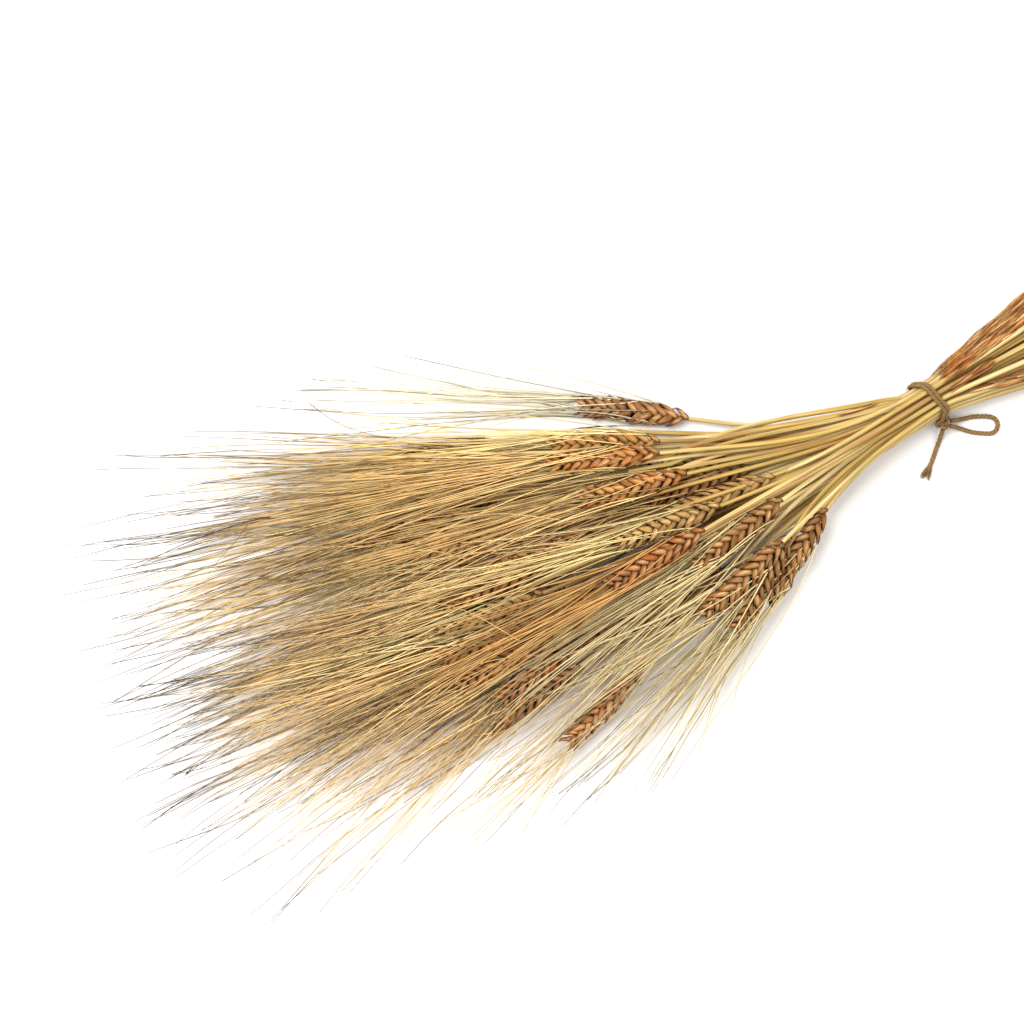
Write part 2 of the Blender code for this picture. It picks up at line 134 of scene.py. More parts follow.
# One mesh from several surfaces. Each is a dictionary: points, faces, tint (a colour a point), grain (a
# place in the piece's own straight grain, a point) and the number of its finish.
def makePiece(name, surfaces, finishes, replaces=()):
    points, tints, grains, corners, totals, numbers = [], [], [], [], [], []
    first = 0
    for surface in surfaces:
        flat = surface["points"].reshape(-1, 3)
        points.append(flat)
        tints.append(np.broadcast_to(surface["tint"], (*surface["points"].shape[:-1], 3)).reshape(-1, 3))
        grains.append(surface["grain"].reshape(-1, 3))
        for faces in surface["faces"]:
            corners.append((faces + first).ravel())
            totals.append(np.full(len(faces), faces.shape[1]))
            numbers.append(np.full(len(faces), surface["finish"]))
        first += len(flat)
    points, corners, totals = np.concatenate(points), np.concatenate(corners), np.concatenate(totals)
    points[:, 2] = np.maximum(points[:, 2], lowest)
    points *= mm
    mesh = bpy.data.meshes.new(name)
    mesh.vertices.add(len(points))
    mesh.vertices.foreach_set("co", points.astype(np.float32).ravel())
    mesh.loops.add(len(corners))
    mesh.loops.foreach_set("vertex_index", corners.astype(np.int32))
    mesh.polygons.add(len(totals))
    mesh.polygons.foreach_set("loop_start", np.r_[0, np.cumsum(totals)[:-1]].astype(np.int32))
    mesh.polygons.foreach_set("material_index", np.concatenate(numbers).astype(np.int32))
    mesh.update(calc_edges=True)
    tint = np.c_[np.concatenate(tints), np.ones(len(points))]
    mesh.attributes.new("tint", "FLOAT_COLOR", "POINT").data.foreach_set("color", tint.ravel())
    grain = mesh.attributes.new("grain", "FLOAT_VECTOR", "POINT")
    grain.data.foreach_set("vector", np.concatenate(grains).ravel())
    for finish in finishes:
        mesh.materials.append(finish)
    mesh.shade_smooth()
    piece = addObject(name, mesh)
    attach(piece, "root")
    if replaces:
        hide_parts(*replaces)
    return piece


# A surface of one tube or of several: its points by tube, ring and side, their colours and grain, and the
# number of its finish. Each tube's grain is shifted its own way.
def tubes(points, tint, grain, finish, closed=False, shift=grainShift):
    *count, rings, sides, axes = points.shape
    if shift:
        grain = grain + rng.uniform(-shift, shift, (*count, 1, 1, axes))
    return {"points": points, "faces": tubeFaces(*(count or [1]), rings, sides, closed), "tint": tint,
            "grain": grain, "finish": finish}


# Thin tubes about many lines at once: P = line + r (cos a across + flat sin a over)
def bristles(centre, r, tint, grainStep, finish, sides=3, flat=1.0):
    run = unit(np.gradient(centre, axis=1))
    across = np.cross(run, [0.0, 0.0, 1.0])
    across /= np.linalg.norm(across, axis=2)[..., None] + 1e-9  # also where a line stands upright
    over = np.cross(across, run)
    a = 2 * np.pi * np.arange(sides) / sides + np.pi / 2
    ways = np.cos(a)[:, None] * across[:, :, None] + flat * np.sin(a)[:, None] * over[:, :, None]
    points = centre[:, :, None] + np.broadcast_to(r, centre.shape[:2])[..., None, None] * ways
    gone = np.cumsum(np.linalg.norm(np.diff(centre, axis=1, prepend=centre[:, :1]), axis=2), axis=1)
    grain = np.stack(np.broadcast_arrays(np.cos(a) * grainStep, np.sin(a) * grainStep, gone[..., None]), -1)
    tint = np.broadcast_to(tint, centre.shape)
    return tubes(points, np.repeat(tint[:, :, None], sides, 2), grain, finish)


# Finishes: the tint is darkened and lightened by streaks along the grain, and turned to a stain in patches

# Each: how fine its streaks and its patches are, across and along the grain, how dark and how light the
# streaks are, the stain and the most of it, roughness, bump and shine
finishKeys = ("streak", "patch", "shade", "stain", "stained", "rough", "bump", "shine")
finishValues = {
    "straw": ((1.5, 0.03), (0.25, 0.035), (0.55, 1.3), paint(170, 120, 58), 0.5, (0.3, 0.5), 0.3, 0.3),
    "leafSheath": ((2.6, 0.03), (0.9, 0.05), (0.55, 1.3), paint(150, 92, 48), 0.6, (0.55, 0.8), 0.4, 0.15),
    "husk": ((1.7, 0.2), (0.3, 0.18), (0.56, 1.36), paint(126, 74, 32), 0.55, (0.38, 0.6), 0.5, 0.12),
    "awnBristle": ((0.8, 0.05), (0.3, 0.04), (0.8, 1.2), paint(176, 128, 70), 0.4, (0.4, 0.6), 0.05, 0.2),
    "jute": ((3.4, 0.5), (0.5, 0.3), (0.5, 1.45), paint(96, 68, 42), 0.55, (0.8, 0.95), 0.6, 0.1),
}
# Detail of the two noises, the part of each that counts, and the depth of the bump in metres
noiseDetail = {"streak": 4.0, "patch": 2.0}
noiseRange = {"streak": (0.3, 0.7), "patch": (0.5, 0.75)}
bumpDepth = 0.0004


def makeFinish(name):
    values = dict(zip(finishKeys, finishValues[name]))
    finish = bpy.data.materials.new(name)
    finish.use_nodes = True
    tree = finish.node_tree
    shader = tree.nodes["Principled BSDF"]

    # Each input of a node is set to a value or linked to another node's output
    def feed(node, inputs):
        for key, value in inputs.items():
            if isinstance(value, bpy.types.NodeSocket):
                tree.links.new(value, node.inputs[key])
            else:
                node.inputs[key].default_value = value

    def add(kind, output, inputs, **settings):
        made = tree.nodes.new(kind)
        for key, value in settings.items():
            setattr(made, key, value)
        feed(made, inputs)
        return made.outputs[output]

    def noise(kind):
        across, run = values[kind]
        place = add("ShaderNodeMapping", "Vector", {"Vector": grain, "Scale": (across, across, run)})
        return add("ShaderNodeTexNoise", "Fac", {"Vector": place, "Scale": 1.0, "Detail": noiseDetail[kind]})

    def ranged(source, kind, low, high):
        limits = dict(zip(("From Min", "From Max", "To Min", "To Max"), (*noiseRange[kind], low, high)))
        return add("ShaderNodeMapRange", "Result", {"Value": source, **limits})

    grain = add("ShaderNodeAttribute", "Vector", {}, attribute_name="grain")
    tint = add("ShaderNodeAttribute", "Color", {}, attribute_name="tint")
    streaks, patches = noise("streak"), noise("patch")
    stained = add("ShaderNodeMix", "Result", {
        "A": tint, "B": (*values["stain"], 1.0), "Factor": ranged(patches, "patch", 0.0, values["stained"]),
    }, data_type="RGBA")
    feed(shader, {
        "Base Color": add("ShaderNodeVectorMath", "Vector", {
            0: stained, "Scale": ranged(streaks, "streak", *values["shade"])}, operation="SCALE"),
        "Roughness": ranged(streaks, "streak", *values["rough"]),
        "Specular IOR Level": values["shine"],
        "Normal": add("ShaderNodeBump", "Normal", {
            "Height": streaks, "Strength": values["bump"], "Distance": bumpDepth}),
    })
    return finish


finishes = {name: makeFinish(name) for name in finishValues}
print("finishes made")


# Twine: the bow and the tail are free cords, and the ring and its knot hold the stems

twine = {
    "diameter": 2.5,
    "radius": 1.38,  # out to the top of a ply
    "plies": 3,
    "lay": 7.5,  # length of one turn of its plies
    "groove": 0.2,  # how deep the plies part, as a share of the radius
    "sides": 18,
    "step": 0.6,  # between the rings of the bow and the tail
    "thinnest": 0.45,  # share of the radius left at a frayed end
    "colour": paint(150, 118, 76),
    # painted shade: the twine is darker in its grooves and lighter on its plies
    "shade": (0.55, 0.5),  # share of the colour in a groove, and how much more on a ply
}
bowRoute = [
    (9.86, -14.74, 8.6), (13.35, -15.45, 5.15), (16.86, -16.11, 2.35), (20.32, -16.48, 1.46),
    (24.02, -17.07, 1.35), (28.82, -18.57, 1.35), (33.05, -20.28, 1.35), (34.98, -21.59, 1.35),
    (35.78, -22.97, 1.35), (36.14, -24.88, 1.35), (35.82, -26.79, 1.35), (34.72, -28.39, 1.35),
    (33.13, -29.52, 1.35), (31.6, -29.96, 1.35), (29.31, -29.56, 1.35), (25.07, -27.85, 1.35),
    (20.58, -25.6, 1.35), (17.5, -23.45, 1.35), (14.76, -21.31, 1.85), (11.78, -19.34, 4.22),
    (8.78, -17.43, 7.2),
]
tailRoute = [
    (3.62, -18.23, 7.4), (2.55, -20.25, 4.37), (1.22, -22.43, 1.95), (-0.87, -25.07, 1.35),
    (-3.28, -27.93, 1.35), (-5.69, -30.87, 1.35), (-8.28, -33.93, 1.35), (-11.22, -37.15, 1.35),
    (-14.28, -40.43, 1.35),
]
ringRoute = [
    (4.79, -12.43, 4.4), (4.7, -12.2, 3.19), (4.46, -11.55, 2.17), (4.08, -10.59, 1.25),
    (3.64, -9.45, 1.25), (-3.64, 9.45, 1.25), (-4.08, 10.59, 1.25), (-4.46, 11.55, 2.17),
    (-4.7, 12.2, 3.19), (-4.79, 12.43, 4.4), (-4.79, 12.43, 11.7), (-4.75, 12.31, 12.58),
    (-4.02, 10.42, 19.48), (-3.92, 10.17, 20.1), (-3.2, 8.28, 23.79), (-2.9, 7.52, 24.75),
    (-2.49, 6.45, 25.32), (-1.03, 2.67, 26.41), (-0.78, 2.01, 26.51), (-0.52, 1.35, 26.46),
    (2.4, -6.21, 24.98), (2.76, -7.16, 24.61), (3.06, -7.93, 23.93), (3.26, -8.45, 23.01),
    (4.72, -12.23, 12.63), (4.79, -12.43, 11.5),
]
tieBearing = -12.0


# Unit vector in plan: (-cos b, sin b)
def along(bearing):
    a = np.radians(bearing)
    return np.array([-np.cos(a), np.sin(a)])


tieAlong = along(tieBearing)
tieAcross = np.array([tieAlong[1], -tieAlong[0]])


# Points every step along straight runs through the route, smoothed by a moving mean over a window
def resample(route, step, window=0.0, closed=False):
    route = np.array(route, float)
    if closed:
        route = np.vstack([route, route[:1]])
    far = distances(route)
    s = np.linspace(0, far[-1], int(far[-1] / step) + 1)
    if closed:
        s = s[:-1]
    line = np.stack([np.interp(s, far, route[:, axis]) for axis in range(3)], 1)
    reach = int(window / 2 / step)
    if not reach:
        return line
    if closed:
        padded = np.vstack([line[-reach:], line, line[:reach]])
    else:
        ahead = np.arange(1, reach + 1)[:, None]
        padded = np.vstack([line[0] - ahead[::-1] * (line[1] - line[0]), line,
                            line[-1] + ahead * (line[-1] - line[-2])])
    sums = np.vstack([np.zeros(3), np.cumsum(padded, axis=0)])
    return (sums[2 * reach + 1:] - sums[:-2 * reach - 1]) / (2 * reach + 1)


# Tube round a line: P(i, a) = line(i) + radius (1 - groove + groove |cos(plies (a - turn i) / 2)|) times
# the way out at angle a, so the plies wind round it. It gets thinner over the last worn millimetres.
def twineSurface(line, out, closed=False, radius=twine["radius"], worn=0.0):
    sides = twine["sides"]
    ways = unit(np.roll(line, -1, 0) - np.roll(line, 1, 0) if closed else np.gradient(line, axis=0))
    out = squareTo(out, ways)
    across = np.cross(out, ways)
    s = distances(line)
    turns = max(1, round(s[-1] / twine["lay"])) / s[-1] if closed else 1 / twine["lay"]
    a = 2 * np.pi * np.arange(sides) / sides
    phase = a[None, :] - 2 * np.pi * turns * s[:, None]
    lobe = np.abs(np.cos(twine["plies"] / 2 * phase))
    r = radius * (1 - twine["groove"] + twine["groove"] * lobe)
    if worn:
        r = r * np.clip((s[-1] - s) / worn, twine["thinnest"], 1)[:, None]
    points = line[:, None] + r[..., None] * (
        np.cos(a)[:, None] * out[:, None] + np.sin(a)[:, None] * across[:, None])
    grain = np.stack([radius * np.cos(phase), radius * np.sin(phase), np.repeat(s[:, None], sides, 1)], -1)
    # Painted shade: darker in the grooves between the plies and lighter on their tops
    dark, more = twine["shade"]
    tint = twine["colour"] * (dark + more * lobe)[..., None]
    return tubes(points, tint, grain, 0, closed, shift=0)


def makeTwine(name, node, *surfaces):
    return makePiece(name, surfaces, [finishes["jute"]], (node,))


def makeCord(name, node, route, extras, worn=0.0):
    line = resample(route, twine["step"])
    piece = makeTwine(name, node, twineSurface(line, np.broadcast_to([0.0, 0.0, 1.0], line.shape), worn=worn))


fuzz = {
    "bow": (160, 0.9),  # how many fibres, and the longest
    "tail": (70, 0.9),
    "ring": (170, 1.7),
    "knot": (60, 1.5),
    "hair": 0.05,  # radius of a fibre
    "root": 0.8,  # where it starts, as a share of the twine's radius
    "shortest": 0.3,  # share of the longest
    "lean": 1.2,
    "rings": 5,
    "paler": 1.25,
    "grain": 0.1,
}


# Loose fibres: each leaves the twine at a right angle and leans along it,
# P(t) = line + out (root + long t) + way long lean t^2
def fuzzSurface(line, kind):
    count, long = fuzz[kind]
    i = rng.integers(1, len(line) - 1, count)
    ways = unit(line[i + 1] - line[i - 1])
    out = squareTo(rng.normal(size=(count, 3)), ways)
    t = np.linspace(0, 1, fuzz["rings"])
    hair = long * rng.uniform(fuzz["shortest"], 1.0, (count, 1))
    lean = rng.normal(0, fuzz["lean"], (count, 1))
    centre = (line[i][:, None] + out[:, None] * (fuzz["root"] * twine["radius"] + hair * t)[..., None]
              + ways[:, None] * (hair * lean * t**2)[..., None])
    return bristles(centre, fuzz["hair"], twine["colour"] * fuzz["paler"], fuzz["grain"], 0)


fray = {
    "fibres": 60,
    "from": 6.5,  # how far before the end of the twine they start
    "past": (-1.5, 2.5),  # how far past that end they reach
    "root": 0.9,  # share of the twine's radius
    "spread": 2.6,
    "narrowest": 0.1,  # share of the spread
    "flat": 0.5,  # they part less upwards than sideways
    "wave": 0.3,
    "drop": 1.1,
    "lowest": 0.2,
    "thick": 0.22,
    "tints": (0.7, 1.4),
    "rings": 9,
    "grain": 0.2,
}


# Frayed end: fibres that go on from the twine and part,
# P(t) = start + way long t + out (root + spread t^1.4 + a wave), and drop by drop t^2
def fraySurface(route):
    end, before = np.array(route[-1]), np.array(route[-2])
    way = unit(end - before)
    count = fray["fibres"]
    out = squareTo(rng.normal(size=(count, 3)) * (1, 1, fray["flat"]), way)
    t = np.linspace(0, 1, fray["rings"])
    long = fray["from"] + rng.uniform(*fray["past"], (count, 1))
    wide = fray["spread"] * rng.uniform(fray["narrowest"], 1.0, (count, 1))
    root = fray["root"] * twine["radius"] * rng.uniform(0.5, 1.0, (count, 1))
    off = root + wide * t**1.4 + fray["wave"] * np.sin(7 * t + 5 * wide)
    centre = end - way * fray["from"] + way * (long * t)[..., None] + out[:, None] * off[..., None]
    centre[..., 2] = np.maximum(centre[..., 2] - fray["drop"] * t**2, fray["lowest"])
    r = fray["thick"] * (1 - t) ** 0.5 + fuzz["hair"]
    tint = twine["colour"] * rng.uniform(*fray["tints"], (count, 1, 1))
    return bristles(centre, r, tint, fray["grain"], 0)


makeCord("bowTwine", "twine_bow", bowRoute,
         [makeTwine("bowFuzz", "twine_bow", fuzzSurface(resample(bowRoute, twine["step"]), "bow"))])
makeCord("tailTwine", "twine_tail", tailRoute,
         [makeTwine("tailFuzz", "twine_tail", fuzzSurface(resample(tailRoute, twine["step"]), "tail")),
          makeTwine("tailFray", "twine_tail", fraySurface(tailRoute))], worn=5.0)
print("cords laid")


ring = {
    "step": 0.5,
    "window": 3.0,  # its corners are rounded over this length
    "apart": 1.12,  # of each strand from the middle between them
    "bow": 4.2,
    "bowHeights": (6.0, 22.0),  # where the bow starts and where it is full
    "radii": (1.2, 1.15),
}
knot = {
    "centre": np.array([5.218, -14.43, 8.0]),
    "size": (1.3, 1.05, 0.95),  # along the stems, across them and up
    "radius": 1.25,
    "points": 200,
}


# Knot: a trefoil line, (sin t + 2 sin 2t, cos t - 2 cos 2t, -1.5 sin 3t), drawn small round its middle, with
# its first direction along the stems and its second across them
def knotLine():
    t = 2 * np.pi * np.arange(knot["points"]) / knot["points"]
    shape = np.stack([np.sin(t) + 2 * np.sin(2 * t), np.cos(t) - 2 * np.cos(2 * t), -1.5 * np.sin(3 * t)], 1)
    shape = shape * knot["size"]
    return (knot["centre"] + shape[:, :1] * [*tieAlong, 0] + shape[:, 1:2] * [*tieAcross, 0]
            + shape[:, 2:] * [0, 0, 1])


# Two strands side by side round the stems. They bow towards the cut ends by bow u^1.5, with u the share of
# the height between the two bow heights.
def ringLines():
    middle = resample(ringRoute, ring["step"], ring["window"], closed=True)
    start, full = ring["bowHeights"]
    over = np.clip((middle[:, 2] - start) / (full - start), 0, 1)
    middle[:, :2] -= tieAlong * (ring["bow"] * over**1.5)[:, None]
    return [middle + [*(tieAlong * way * ring["apart"]), 0] for way in (-1, 1)]


strands, knotPath = ringLines(), knotLine()
makeTwine("ringTwine", "twine_tie",
          *(twineSurface(strand, strand - strand.mean(0), closed=True, radius=radius)
            for strand, radius in zip(strands, ring["radii"])),
          twineSurface(knotPath, knotPath - knot["centre"], closed=True, radius=knot["radius"]),
          *(fuzzSurface(strand, "ring") for strand in strands), fuzzSurface(knotPath, "knot"))
print("ring and knot tied")


# Stalks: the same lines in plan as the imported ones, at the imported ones' heights

# Each ear: row in the pile, reach from the tie to its foot, bearing and heading in degrees, look, and the
# share of its awns that broke off
ears = [
    (2, 138, 16.2, 27, "brown", 0.35), (3, 157, 11.7, 18, "gold", 0.0), (2, 221, 10.0, 9, "red", 0.1),
    (3, 121, 4.8, 10, "tan", 0.2), (3, 205, -1.2, -1, "red", 0.1), (3, 242, -2.9, -3, "red", 0.2),
    (3, 257, -9.5, 0, "red", 0.25), (2, 189, -11.0, -6, "red", 0.1), (2, 224, -22.9, -25, "ripe", 0.72),
    (4, 159, 9.3, 14, "orange", 0.05), (4, 146, 3.6, 6, "orange", 0.1), (4, 135, -6.3, 0, "tan", 0.4),
    (3, 239, -14.4, -16, "red", 0.45), (4, 111, -23.1, -40, "nut", 0.35), (4, 84, -25.8, -36, "nut", 0.4),
    (5, 98, -5.7, -1, "tan", 0.8), (5, 150, -9.2, -11, "fire", 0.0), (5, 102, -13.1, -17, "nut", 0.0),
    (5, 117, -23.2, -23, "nut", 0.25),
]
golden = 0.618034  # multiples of it, modulo 1, scatter evenly
hidden = {"count": 7, "bearing": 14.0, "fan": 36.0, "nearest": 150.0, "deep": 142.0, "broken": 0.3}
for k in range(hidden["count"]):
    bearing = hidden["bearing"] - hidden["fan"] * (k + 0.5) / hidden["count"]
    reach = hidden["nearest"] + hidden["deep"] * ((k * golden + 0.3) % 1.0)
    row = 2 if k == hidden["count"] // 2 else 1
    ears.append((row, reach, bearing, bearing, "under", hidden["broken"]))

# Husk colour, its dark edge, partly its own colour and partly painted shade, awn colour at the ear and awn
# colour further out
looks = {name: [paint(*colour) for colour in colours] for name, colours in {
    "gold": ((194, 138, 70), (62, 34, 8), (255, 238, 176), (248, 218, 148)),
    "orange": ((182, 112, 50), (60, 28, 6), (252, 220, 150), (248, 206, 138)),
    "fire": ((154, 84, 36), (46, 22, 4), (212, 160, 92), (220, 176, 110)),
    "red": ((162, 98, 50), (60, 30, 10), (250, 218, 150), (244, 208, 150)),
    "brown": ((176, 120, 72), (70, 40, 20), (250, 242, 210), (246, 238, 208)),
    "nut": ((158, 106, 56), (56, 32, 12), (248, 226, 164), (234, 216, 170)),
    "tan": ((188, 146, 86), (66, 44, 18), (252, 236, 172), (246, 220, 154)),
    "ripe": ((190, 122, 66), (74, 38, 14), (250, 228, 176), (246, 214, 156)),
    "under": ((160, 104, 56), (54, 30, 12), (240, 208, 142), (236, 208, 154)),
}.items()}
# Colour of the painted highlight along the husks' ridges
huskHighlight = paint(248, 208, 146)
awnTip = paint(76, 64, 56)
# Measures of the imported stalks, by which their lines are found again
packed = {
    "length": 71.0,  # of an ear
    "knee": 52.0,  # from its tip to where the awns straighten
    "beard": 158.0,
    "tail": 118.0,  # from the tie to the cut ends
    "longer": (9.0, 0.08),  # how much a tail varies, and a beard as a share
    "halfTie": 10.0,
    "lane": 4.0,  # between neighbours of a row at the tie
    "tailBearing": (-8.0, 1.2, 2.2),  # in degrees: of the middle, for each millimetre of lane, and stray
    "tailBend": 0.45,
    "pull": 0.36,
    "beardTurn": 0.75,
    "shortReach": 130.0,
    "seed": 11,
}


# Knots of a stalk's line in plan, from its cut end to its awns' end, with a cubic Bezier curve from the
# tie to the ear's foot
def planKnots(ear, lane, cut, beard):
    row, reach, bearing, heading = ear[:4]
    stray = 2 * (row * golden % 1.0) - 1
    middle, fan, wild = packed["tailBearing"]
    tailWay = -along(middle - fan * lane - wild * stray)
    back, front = (tieAcross * lane + tieAlong * half for half in (-packed["halfTie"], packed["halfTie"]))
    foot, earWay, beardWay = along(bearing) * reach, along(heading), along(packed["beardTurn"] * heading)
    pull = packed["pull"] * np.linalg.norm(foot - front)
    bends = 2 if reach < packed["shortReach"] else 3
    t = (np.arange(bends)[:, None] + 1) / (bends + 1)
    curve = ((1 - t) ** 3 * front + 3 * (1 - t) ** 2 * t * (front + tieAlong * pull)
             + 3 * (1 - t) * t**2 * (foot - earWay * pull) + t**3 * foot)
    tip = foot + earWay * packed["length"]
    return np.vstack([back + tailWay * cut, back + tailWay * packed["tailBend"] * cut, back, front, curve,
                      foot, tip, tip + beardWay * packed["knee"], tip + beardWay * beard])


# How near in plan a corner counts: along the straw, then at the ear's tip, the knee and the awns' end
nearKnot = (2.4, 1.6, 0.9, 0.3)
nearSlack = 0.05


# Middle height of a packed stalk at each knot: halfway between its highest and lowest corner near it
def knotHeights(node, knots):
    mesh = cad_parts[node].data
    corners = np.empty(len(mesh.vertices) * 3, np.float32)
    mesh.vertices.foreach_get("co", corners)
    corners = corners.reshape(-1, 3) / mm
    apart = np.hypot(corners[:, None, 0] - knots[:, 0], corners[:, None, 1] - knots[:, 1])
    limits = np.r_[np.full(len(knots) - 3, nearKnot[0]), nearKnot[1:]]
    near = apart < np.maximum(limits, apart.min(0) + nearSlack)
    high = np.where(near, corners[:, 2:], -np.inf).max(0)
    low = np.where(near, corners[:, 2:], np.inf).min(0)
    return (high + low) / 2


# A stalk's line: places a step apart, and at each the level direction to its side and the one up from it.
# Its stations are how far along it the cut end, the two edges of the tie, the foot, the tip and the end are.
class Line:
    def __init__(self, places, stations):
        self.places, self.stations = places, stations
        self.step = stations[-1] / (len(places) - 1)
        self.turn()

    def turn(self):
        self.ways = unit(np.gradient(self.places, axis=0))
        self.sides = unit(np.stack([self.ways[:, 1], -self.ways[:, 0], np.zeros(len(self.ways))], 1))
        self.ups = np.cross(self.sides, self.ways)

    # P(s, side, up) = line(s) + side * sideways(s) + up * upwards(s), straight on past the end
    def at(self, s, side=0.0, up=0.0):
        s = np.asarray(s, float)
        place = np.clip(s / self.step, 0, len(self.places) - 1.001)
        i = place.astype(int)
        f = (place - i)[..., None]
        past = (s - place * self.step)[..., None]
        base = self.places[i] * (1 - f) + self.places[i + 1] * f + past * self.ways[i]
        sides = self.sides[i] * (1 - f) + self.sides[i + 1] * f
        ups = self.ups[i] * (1 - f) + self.ups[i + 1] * f
        return base + np.asarray(side)[..., None] * sides + np.asarray(up)[..., None] * ups

    # From one place on the line lies higher or lower, by change (3 u^2 - 2 u^3) with u the share of the way
    # to the other place
    def lift(self, change, start, end):
        u = np.clip((np.arange(len(self.places)) * self.step - start) / (end - start), 0, 1)
        self.places[:, 2] += change * (3 * u**2 - 2 * u**3)
        self.turn()

    # From the foot on the line bends to one side by most ((s - foot) / ear length) ^ 1.6
    def bend(self, foot, most):
        s = np.arange(len(self.places)) * self.step
        self.places += self.sides * (most * np.clip((s - foot) / packed["length"], 0, 3) ** 1.6)[:, None]
        self.turn()


rounding = {"step": 1.0, "near": 12.0, "far": 46.0, "from": 12.0, "over": 36.0}


# Line through its knots, rounded over a short length near the tie and over a long one further out. The mix
# of the two goes with the distance from the tie.
def lineThrough(knots):
    fine, loose = (resample(knots, rounding["step"], rounding[which]) for which in ("near", "far"))
    free = np.clip((np.hypot(*fine[:, :2].T) - rounding["from"]) / rounding["over"], 0, 1)[:, None]
    far = distances(knots)
    return Line(fine * (1 - free) + loose * free, far[[0, 2, 3, -4, -3, -1]])


# A share of the way from one line to another, station by station. Between the tie and the foot, with u the
# share of that way, it bows to one side by bow sin(pi u)^0.7 and sinks by sink u.
def lineBetween(a, b, share=0.5, bow=0.0, sink=0.0):
    stations = a.stations * (1 - share) + b.stations * share
    s = np.linspace(0, stations[-1], int(stations[-1]))
    places = [line.at(np.interp(s, stations, line.stations)) for line in (a, b)]
    made = Line(places[0] * (1 - share) + places[1] * share, stations)
    made.room = np.linalg.norm(places[0] - places[1], axis=1) * min(share, 1 - share)
    if bow or sink:
        u = np.clip((s - stations[2]) / (stations[3] - stations[2]), 0, 1)
        arch = (bow * np.sin(np.pi * u) ** 0.7)[:, None]
        made.places += made.sides * arch - [0, 0, 1] * (sink * u)[:, None]
        made.room = made.room + abs(bow) * np.sin(np.pi * u)
        made.turn()
    return made


straw = {
    "radius": 1.52,
    "top": 1.2,  # radius under the ear
    "taper": 0.6,  # share of its length before it gets thinner
    "thinnest": 0.5,
    "rim": ((9.0, 0.55), (0.4, 0.65), (0.0, 0.9)),  # hollow at the cut end: depth and share of the radius
    "start": (0.6, 3.0),
    "inEar": (1.0, 11.0, 12.0),  # it goes on into the ear
    "sides": 12,
    "step": 4.0,
    "nodes": (18, 100),  # where its node may be
    "swelling": (0.24, 1.7),  # share of the radius, and length
    "nodeShade": (0.6, 1.2, 1.3),  # how dark, how far past the node, and length
    "colours": (paint(216, 186, 118), paint(196, 164, 88), paint(232, 208, 146), paint(178, 134, 74)),
    "ripe": (0.85, 1.08),
    # painted shade: the straw is darker low down and on its sides, and a little lighter on top
    "paintedFlankShade": ([-1, -0.3, 0.7, 1], [0.66, 0.66, 1.0, 1.07]),  # darker low down
    # painted shade inside the hollow cut end
    "cut": paint(110, 74, 34),
}


# Straw: P(s, a) = line + r(s) (cos a, sin a), with a low swelling at its node, and hollow at the cut end
def strawSurface(line, foot, node):
    depths, shares = np.transpose(straw["rim"])
    first, second = straw["start"]
    s = np.r_[depths, first, np.arange(second, foot, straw["step"]), foot + np.array(straw["inEar"])]
    r = np.interp(s, [0, foot * straw["taper"], foot], [straw["radius"], straw["radius"], straw["top"]])
    if hasattr(line, "room"):
        room = np.interp(s / line.step, np.arange(len(line.room)), line.room)
        r = np.clip(room - straw["radius"], straw["thinnest"], r)
    swell, long = straw["swelling"]
    r = r * (1 + swell * np.exp(-((s - node) / long) ** 2))
    r[:3] = r[3] * shares
    r[-1] = straw["thinnest"]
    a = 2 * np.pi * np.arange(straw["sides"]) / straw["sides"]
    points = line.at(s[:, None] + 0 * a, r[:, None] * np.cos(a), r[:, None] * np.sin(a))
    colours = straw["colours"]
    pick, other, ripe = rng.integers(len(colours)), rng.integers(len(colours)), rng.uniform(*straw["ripe"])
    mix = (0.5 + 0.5 * np.sin(s / 31 + rng.uniform(0, 6.3)))[:, None, None]  # from one colour to the other
    tint = np.broadcast_to(ripe * (colours[pick] * mix + colours[other] * (1 - mix)), points.shape).copy()
    dark, past, long = straw["nodeShade"]
    tint *= (1 - dark * np.exp(-((s - node - past) / long) ** 2))[:, None, None]
    # Painted shade: the straw's sides and underside are darkened and its top lightened, by its height round
    # the line
    tint *= np.interp(np.sin(a), *straw["paintedFlankShade"])[:, None]
    # Painted shade: the inside of the hollow cut end is darkened
    tint[:2] = straw["cut"]
    grain = np.stack(np.broadcast_arrays(np.cos(a) * r[:, None], np.sin(a) * r[:, None], s[:, None]), -1)
    return tubes(points, tint, grain, 0)


sheath = {
    "every": 3,  # of the stalks
    "start": 2.0,
    "ends": (30, 90),
    "thick": 0.34,
    "sides": 14,
    "step": 4.0,
    "torn": (-5, 3),
    "colours": (paint(192, 142, 84), paint(168, 118, 66), paint(210, 170, 112)),
}


# Leaf sheath round a straw: r(s, a) = straw + thick (1 + folds), with a torn end where s itself is ragged
def sheathSurface(line, end):
    start = sheath["start"]
    a = 2 * np.pi * np.arange(sheath["sides"]) / sheath["sides"]
    share = np.r_[0, np.linspace(0, 1, int((end - start) / sheath["step"])), 1]
    ragged = rng.uniform(*sheath["torn"], len(a)) * (share**6)[:, None]
    s = start + (end - start) * share[:, None] + ragged
    folds = 0.35 * np.cos(3 * a + rng.uniform(0, 6)) + 0.25 * np.cos(5 * a + s / 9)
    r = straw["radius"] + sheath["thick"] * (1 + folds)
    r[0], r[-1] = straw["radius"] * 0.97, straw["radius"] * 0.97  # both ends are tucked into the straw
    points = line.at(s, r * np.cos(a), r * np.sin(a))
    colours = sheath["colours"]
    # Painted shade: darker in the folds' hollows and lighter on their ridges, times a random tone for each
    # sheath
    tint = colours[rng.integers(len(colours))] * (1 + 0.3 * folds)[..., None] * rng.uniform(0.85, 1.15)
    return tubes(points, tint, np.stack([np.cos(a) * r, np.sin(a) * r, s], -1), 3)


